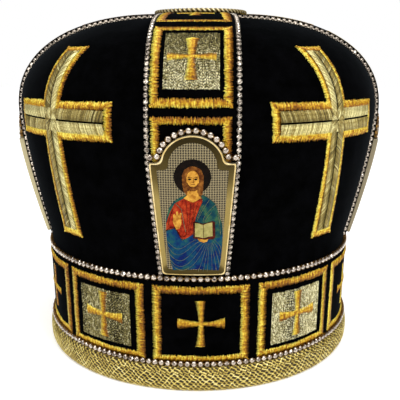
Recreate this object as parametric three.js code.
// Bishop mitre: a padded roll, an upright base band and a bulging hollow crown of four velvet panels
// and four raised strips, with rhinestone chains, arched icons and large crosses.
// Millimetres, +Z up, standing on z = 0 with its front towards -Y.
import * as THREE from "three";
import { mergeVertices } from "three/addons/utils/BufferGeometryUtils.js";
import { TessellateModifier } from "three/addons/modifiers/TessellateModifier.js";

// Driving sizes
const GAP = 0.3;
const CLOTH = 2.0;
const STRIP = { thickness: 3.0, proud: 2.2, start: 3.4, count: 4 };
const CHAIN_RADIUS = 1.45;
const CHAIN_SIDES = 8;
const CHAIN_STEP = 11.5;

// Outer face of the strips, as a meridian: a flare from the foot to the widest level, then a dome
const CROWN = {
  footRadius: 95.8,
  footZ: 63.1,
  wideRadius: 112.2,
  wideZ: 147.8,
  topRadius: 26.0,
  topZ: 203.0,
  flarePower: 1.44,
  domePower: 2.22,
};
const BASE = { bottomZ: 14.5, topZ: 62.7, bottomRadius: 96.1, topRadius: 97.1, wall: 4.7, sides: 56 };
const ROLL = { radius: 95.2, centreZ: 7.1, halfWidth: 4.3, halfHeight: 7.4, power: 3.0, points: 10, sides: 48 };
const RINGS = [
  { name: "base_chain_lower", radius: 97.9, z: 16.0, steps: 56 },
  { name: "base_chain_upper", radius: 97.0, z: 64.5, steps: 56 },
];

// The top disc is sewn on a little to one side
const DISC = {
  centreX: 1.4,
  radius: 25.6,
  bottomZ: 203.3,
  topZ: 204.9,
  rimRadius: 27.4,
  rimTube: 1.4,
  rimZ: 204.75,
  sides: 36,
};

// Half the width between a strip's two chains, by distance up the meridian
const CHAIN_LINE = [
  { up: 0, half: 17.9 },
  { up: 68, half: 22.9 },
  { up: 163, half: 22.9 },
  { up: 183, half: 22.2 },
  { up: 201, half: 20.2 },
];
const CHAIN_ENDS = { start: 4.0, topRadius: 31.5 };

// Icon on each strip: outlines as half widths by distance up the meridian, under a round arch
const ICON = {
  outer: { bottom: 5.1, bottomHalf: 16.2, shoulder: 67.8, shoulderHalf: 20.9, archRadius: 15.8 },
  inner: { bottom: 8.3, bottomHalf: 13.4, shoulder: 63.8, shoulderHalf: 17.2, archRadius: 12.2 },
  archCentre: 65.8,
  standOff: 0.3,
  frameDepth: 2.8,
  plateDepth: 1.2,
  archChainFrom: 16,
  archChainSteps: 9,
  archChainEnd: { lateral: 20.5, up: 70.1 },
};

// Large cross on each panel, sewn on by hand: each has its own place and leans a little its own way
const CROSS = {
  places: [
    { angle: 41.4, lean: -0.065, innerSide: -1 },
    { angle: 137.7, lean: 0.045, innerSide: 1 },
    { angle: -137.7, lean: -0.045, innerSide: -1 },
    { angle: -43.1, lean: 0.03, innerSide: 1 },
  ],
  bottom: 17.9,
  top: 130.4,
  armLow: 75.1,
  armHigh: 95.4,
  innerEnd: { half: 42.5, low: 75.8, high: 96.4 },
  outerEnd: { half: 38.8, low: 75.1, high: 94.6 },
  bottomHalf: 9.0,
  waistHalf: 7.8,
  topHalf: 9.0,
  standOff: 0.7,
  depth: 1.0,
};

const STRIPS = ["front", "right", "back", "left"];
const QUARTER = (2 * Math.PI) / STRIP.count;
const MAX_EDGE = 18;
const SPLITS = 12;

const LOOKS = {
  velvet: { color: 0x0b0c0d, roughness: 0.95, metalness: 0.0 },
  goldThread: { color: 0xd9a52c, roughness: 0.45, metalness: 0.6 },
  goldMesh: { color: 0xc2ab52, roughness: 0.5, metalness: 0.7 },
  frameGold: { color: 0xcdb273, roughness: 0.35, metalness: 0.9 },
  wovenSilver: { color: 0xb9b6a6, roughness: 0.4, metalness: 0.8 },
  crystal: { color: 0xe6e9ea, roughness: 0.1, metalness: 0.3 },
};

// The crown's meridian, measured by the distance along it from the foot
class Meridian {
  constructor(points) {
    this.points = points;
    this.lengths = [0];
    for (let i = 1; i < points.length; i += 1) {
      this.lengths.push(this.lengths[i - 1] + points[i].distanceTo(points[i - 1]));
    }
    this.total = this.lengths.at(-1);
  }

  // Radius and height at a distance up the curve, with the outward normal there
  at(up) {
    const last = this.points.length - 1;
    const found = this.lengths.findIndex((length) => length > up);
    const high = found < 0 ? last : Math.max(found, 1);
    const [a, b] = [this.points[high - 1], this.points[high]];
    const span = this.lengths[high] - this.lengths[high - 1];
    const point = a.clone().lerp(b, (up - this.lengths[high - 1]) / span);
    const along = b.clone().sub(a).normalize();
    return { radius: point.x, z: point.y, outward: along.y, upward: -along.x };
  }

  // Distance up the dome at which the curve has narrowed to a radius
  upAtRadius(radius) {
    const index = this.points.findLastIndex((point) => point.x >= radius);
    return this.lengths[index];
  }
}

function crownMeridian() {
  const samples = 120;
  const points = [];
  for (let i = 0; i < samples; i += 1) {
    const rise = i / samples;
    const flare = 1 - (1 - rise) ** CROWN.flarePower;
    const radius = CROWN.footRadius + (CROWN.wideRadius - CROWN.footRadius) * flare;
    points.push(new THREE.Vector2(radius, CROWN.footZ + (CROWN.wideZ - CROWN.footZ) * rise));
  }
  for (let i = 0; i <= samples; i += 1) {
    const turn = (i / samples) * (Math.PI / 2);
    const across = Math.max(Math.cos(turn), 0) ** (2 / CROWN.domePower);
    const rise = Math.sin(turn) ** (2 / CROWN.domePower);
    const radius = CROWN.topRadius + (CROWN.wideRadius - CROWN.topRadius) * across;
    points.push(new THREE.Vector2(radius, CROWN.wideZ + (CROWN.topZ - CROWN.wideZ) * rise));
  }
  return new Meridian(points);
}

const crown = crownMeridian();

// A point on the crown: angle round from the front, distance up and height off the strips' outer face
function crownPoint(angle, up, height) {
  const { radius, z, outward, upward } = crown.at(up);
  const reach = radius + height * outward;
  return new THREE.Vector3(reach * Math.sin(angle), -reach * Math.cos(angle), z + height * upward);
}

function chainHalf(up) {
  const high = Math.max(1, CHAIN_LINE.findIndex((row) => row.up >= up));
  const [a, b] = [CHAIN_LINE[high - 1], CHAIN_LINE[high]];
  return THREE.MathUtils.mapLinear(up, a.up, b.up, a.half, b.half);
}

// Lateral distances on the crown are arcs, so they become angles at that level's radius
function angleOf(lateral, up) {
  return lateral / crown.at(up).radius;
}

function closed(geometry) {
  geometry.deleteAttribute("normal");
  geometry.deleteAttribute("uv");
  const solid = mergeVertices(geometry, 1e-4);
  solid.computeVertexNormals();
  return solid;
}

// Moves every vertex of a flat solid by a function of its x, y and z
function bent(geometry, place) {
  const solid = closed(geometry);
  const positions = solid.getAttribute("position");
  for (let i = 0; i < positions.count; i += 1) {
    const point = place(positions.getX(i), positions.getY(i), positions.getZ(i));
    positions.setXYZ(i, point.x, point.y, point.z);
  }
  solid.computeVertexNormals();
  return solid;
}

// A cloth wall from a start on the crown up to its top, between two edges given as functions of the distance up
function crownWall(columns, rows, start, leftAngle, rightAngle, outerHeight, thickness) {
  const sheet = new THREE.BoxGeometry(1, 1, 1, columns, rows, 1);
  return bent(sheet, (x, y, z) => {
    const up = THREE.MathUtils.lerp(start, crown.total, y + 0.5);
    const angle = THREE.MathUtils.lerp(leftAngle(up), rightAngle(up), x + 0.5);
    return crownPoint(angle, up, outerHeight - thickness * (0.5 - z));
  });
}

// A flat outline thickened and laid on the crown round an angle
function crownApplique(shape, angle, baseHeight, depth) {
  const plate = new THREE.ExtrudeGeometry(shape, { depth, bevelEnabled: false, curveSegments: 6 });
  const fine = new TessellateModifier(MAX_EDGE, SPLITS).modify(plate);
  return bent(fine, (x, y, z) => crownPoint(angle + angleOf(x, y), y, baseHeight + z));
}

function chainSection() {
  return new THREE.Shape(
    Array.from({ length: CHAIN_SIDES }, (_, i) => {
      const turn = (i / CHAIN_SIDES) * 2 * Math.PI;
      return new THREE.Vector2(CHAIN_RADIUS * Math.cos(turn), CHAIN_RADIUS * Math.sin(turn));
    }),
  );
}

function chainTube(points, steps) {
  const extrudePath = new THREE.CatmullRomCurve3(points, false, "centripetal");
  return closed(new THREE.ExtrudeGeometry(chainSection(), { steps, extrudePath }));
}

const mitre = new THREE.Group();

function addPart(name, geometry, look) {
  const mesh = new THREE.Mesh(geometry, new THREE.MeshStandardMaterial(LOOKS[look]));
  mesh.name = name;
  mitre.add(mesh);
  return mesh;
}

// Closed profiles turned about Z: LatheGeometry turns about Y, so the result is stood up
function turned(profile, sides) {
  const lathe = new THREE.LatheGeometry(profile, sides);
  lathe.rotateX(Math.PI / 2);
  return closed(lathe);
}

function addRoll() {
  const profile = [];
  for (let i = 0; i <= ROLL.points; i += 1) {
    const turn = Math.PI / 2 - ((i + 0.5) / ROLL.points) * 2 * Math.PI;
    const [c, s] = [Math.cos(turn), Math.sin(turn)];
    const radius = ROLL.radius + ROLL.halfWidth * Math.sign(c) * Math.abs(c) ** (2 / ROLL.power);
    const z = ROLL.centreZ + ROLL.halfHeight * Math.sign(s) * Math.abs(s) ** (2 / ROLL.power);
    profile.push(new THREE.Vector2(radius, Math.max(z, 0)));
  }
  profile[ROLL.points].copy(profile[0]);
  addPart("base_roll", turned(profile.reverse(), ROLL.sides), "goldMesh");
}

function addBaseBand() {
  const profile = [
    new THREE.Vector2(BASE.bottomRadius - BASE.wall, BASE.bottomZ),
    new THREE.Vector2(BASE.bottomRadius, BASE.bottomZ),
    new THREE.Vector2(BASE.topRadius, BASE.topZ),
    new THREE.Vector2(BASE.topRadius - BASE.wall, BASE.topZ),
  ];
  profile.push(profile[0].clone());
  addPart("base_band", turned(profile, BASE.sides), "velvet");
}

function addRingChains() {
  for (const { name, radius, z, steps } of RINGS) {
    const ring = closed(new THREE.TorusGeometry(radius, CHAIN_RADIUS, CHAIN_SIDES, steps));
    addPart(name, ring, "crystal").position.z = z;
  }
}

// The panel's edge tucks under the chain and stops a gap short of the strip
function stripHalf(up) {
  return chainHalf(up) - CHAIN_RADIUS - GAP;
}

function addPanels() {
  for (let i = 0; i < STRIP.count; i += 1) {
    const left = (up) => i * QUARTER + angleOf(stripHalf(up) + GAP, up);
    const right = (up) => (i + 1) * QUARTER - angleOf(stripHalf(up) + GAP, up);
    addPart(`crown_panel_${i + 1}`, crownWall(6, 12, 0, left, right, -STRIP.proud, CLOTH), "velvet");
  }
}

function addStrip(name, angle) {
  const left = (up) => angle - angleOf(stripHalf(up), up);
  const right = (up) => angle + angleOf(stripHalf(up), up);
  const strip = crownWall(3, 13, STRIP.start, left, right, 0, STRIP.thickness);
  addPart(`crown_band_${name}`, strip, "velvet");
}

function addStripChains(name, angle) {
  const height = GAP + CHAIN_RADIUS - STRIP.proud;
  const end = crown.upAtRadius(CHAIN_ENDS.topRadius);
  const steps = Math.round((end - CHAIN_ENDS.start) / CHAIN_STEP);
  for (const [side, sign] of [["left", -1], ["right", 1]]) {
    const points = Array.from({ length: steps + 1 }, (_, i) => {
      const up = THREE.MathUtils.lerp(CHAIN_ENDS.start, end, i / steps);
      return crownPoint(angle + sign * angleOf(chainHalf(up), up), up, height);
    });
    addPart(`band_chain_${name}_${side}`, chainTube(points, steps), "crystal");
  }
}

// An arched outline: sides that lean out to square shoulders, then a round arch
function archedShape({ bottom, bottomHalf, shoulder, shoulderHalf, archRadius }, inset) {
  const radius = archRadius - inset;
  const springs = Math.asin(Math.min((shoulder - inset - ICON.archCentre) / radius, 1));
  const shape = new THREE.Shape();
  shape.moveTo(inset - bottomHalf, bottom + inset);
  shape.lineTo(bottomHalf - inset, bottom + inset);
  shape.lineTo(shoulderHalf - inset, shoulder - inset);
  shape.absarc(0, ICON.archCentre, radius, springs, Math.PI - springs, false);
  shape.lineTo(inset - shoulderHalf, shoulder - inset);
  shape.closePath();
  return shape;
}

function addIcon(name, angle) {
  const frame = archedShape(ICON.outer, 0);
  frame.holes.push(archedShape(ICON.inner, 0));
  addPart(`icon_frame_${name}`, crownApplique(frame, angle, ICON.standOff, ICON.frameDepth), "frameGold");
  const plate = archedShape(ICON.inner, GAP);
  addPart(`icon_plate_${name}`, crownApplique(plate, angle, ICON.standOff, ICON.plateDepth), "wovenSilver");
}

function addIconChain(name, angle) {
  const steps = ICON.archChainSteps;
  const radius = ICON.outer.archRadius + GAP + CHAIN_RADIUS;
  const from = THREE.MathUtils.degToRad(ICON.archChainFrom);
  const place = (lateral, up) => crownPoint(angle + angleOf(lateral, up), up, GAP + CHAIN_RADIUS);
  const arch = Array.from({ length: steps + 1 }, (_, i) => {
    const turn = THREE.MathUtils.lerp(from, Math.PI - from, i / steps);
    return place(radius * Math.cos(turn), ICON.archCentre + radius * Math.sin(turn));
  });
  const { lateral, up } = ICON.archChainEnd;
  const points = [place(lateral, up), ...arch, place(-lateral, up)];
  addPart(`icon_chain_${name}`, chainTube(points, steps + 2), "crystal");
}

// One side of a cross, from its foot to its top, with the end of its arm
function crossSide(end) {
  return [
    [CROSS.bottomHalf, CROSS.bottom],
    [CROSS.waistHalf, CROSS.armLow],
    [end.half, end.low],
    [end.half, end.high],
    [CROSS.waistHalf, CROSS.armHigh],
    [CROSS.topHalf, CROSS.top],
  ];
}

// A Latin cross whose arm towards the nearer icon is the longer one
function crossShape({ lean, innerSide }) {
  const ends = innerSide > 0 ? [CROSS.innerEnd, CROSS.outerEnd] : [CROSS.outerEnd, CROSS.innerEnd];
  const right = crossSide(ends[0]);
  const left = crossSide(ends[1]).map(([x, y]) => [-x, y]).reverse();
  const middle = (CROSS.armLow + CROSS.armHigh) / 2;
  return new THREE.Shape([...right, ...left].map(([x, y]) => new THREE.Vector2(x + lean * (y - middle), y)));
}

function addCrosses() {
  CROSS.places.forEach((place, i) => {
    const turn = THREE.MathUtils.degToRad(place.angle);
    const cross = crownApplique(crossShape(place), turn, CROSS.standOff - STRIP.proud, CROSS.depth);
    addPart(`panel_cross_${i + 1}`, cross, "goldThread");
  });
}

function addTop() {
  const profile = [
    new THREE.Vector2(0, DISC.bottomZ),
    new THREE.Vector2(DISC.radius, DISC.bottomZ),
    new THREE.Vector2(DISC.radius, DISC.topZ),
    new THREE.Vector2(0, DISC.topZ),
  ];
  addPart("top_disc", turned(profile, DISC.sides), "velvet").position.x = DISC.centreX;
  const rim = closed(new THREE.TorusGeometry(DISC.rimRadius, DISC.rimTube, 6, DISC.sides));
  addPart("top_rim", rim, "goldMesh").position.set(DISC.centreX, 0, DISC.rimZ);
}

addRoll();
addBaseBand();
addRingChains();
addPanels();
STRIPS.forEach((name, i) => {
  const angle = i * QUARTER;
  addStrip(name, angle);
  addStripChains(name, angle);
  addIcon(name, angle);
  addIconChain(name, angle);
});
addCrosses();
addTop();

export default mitre;
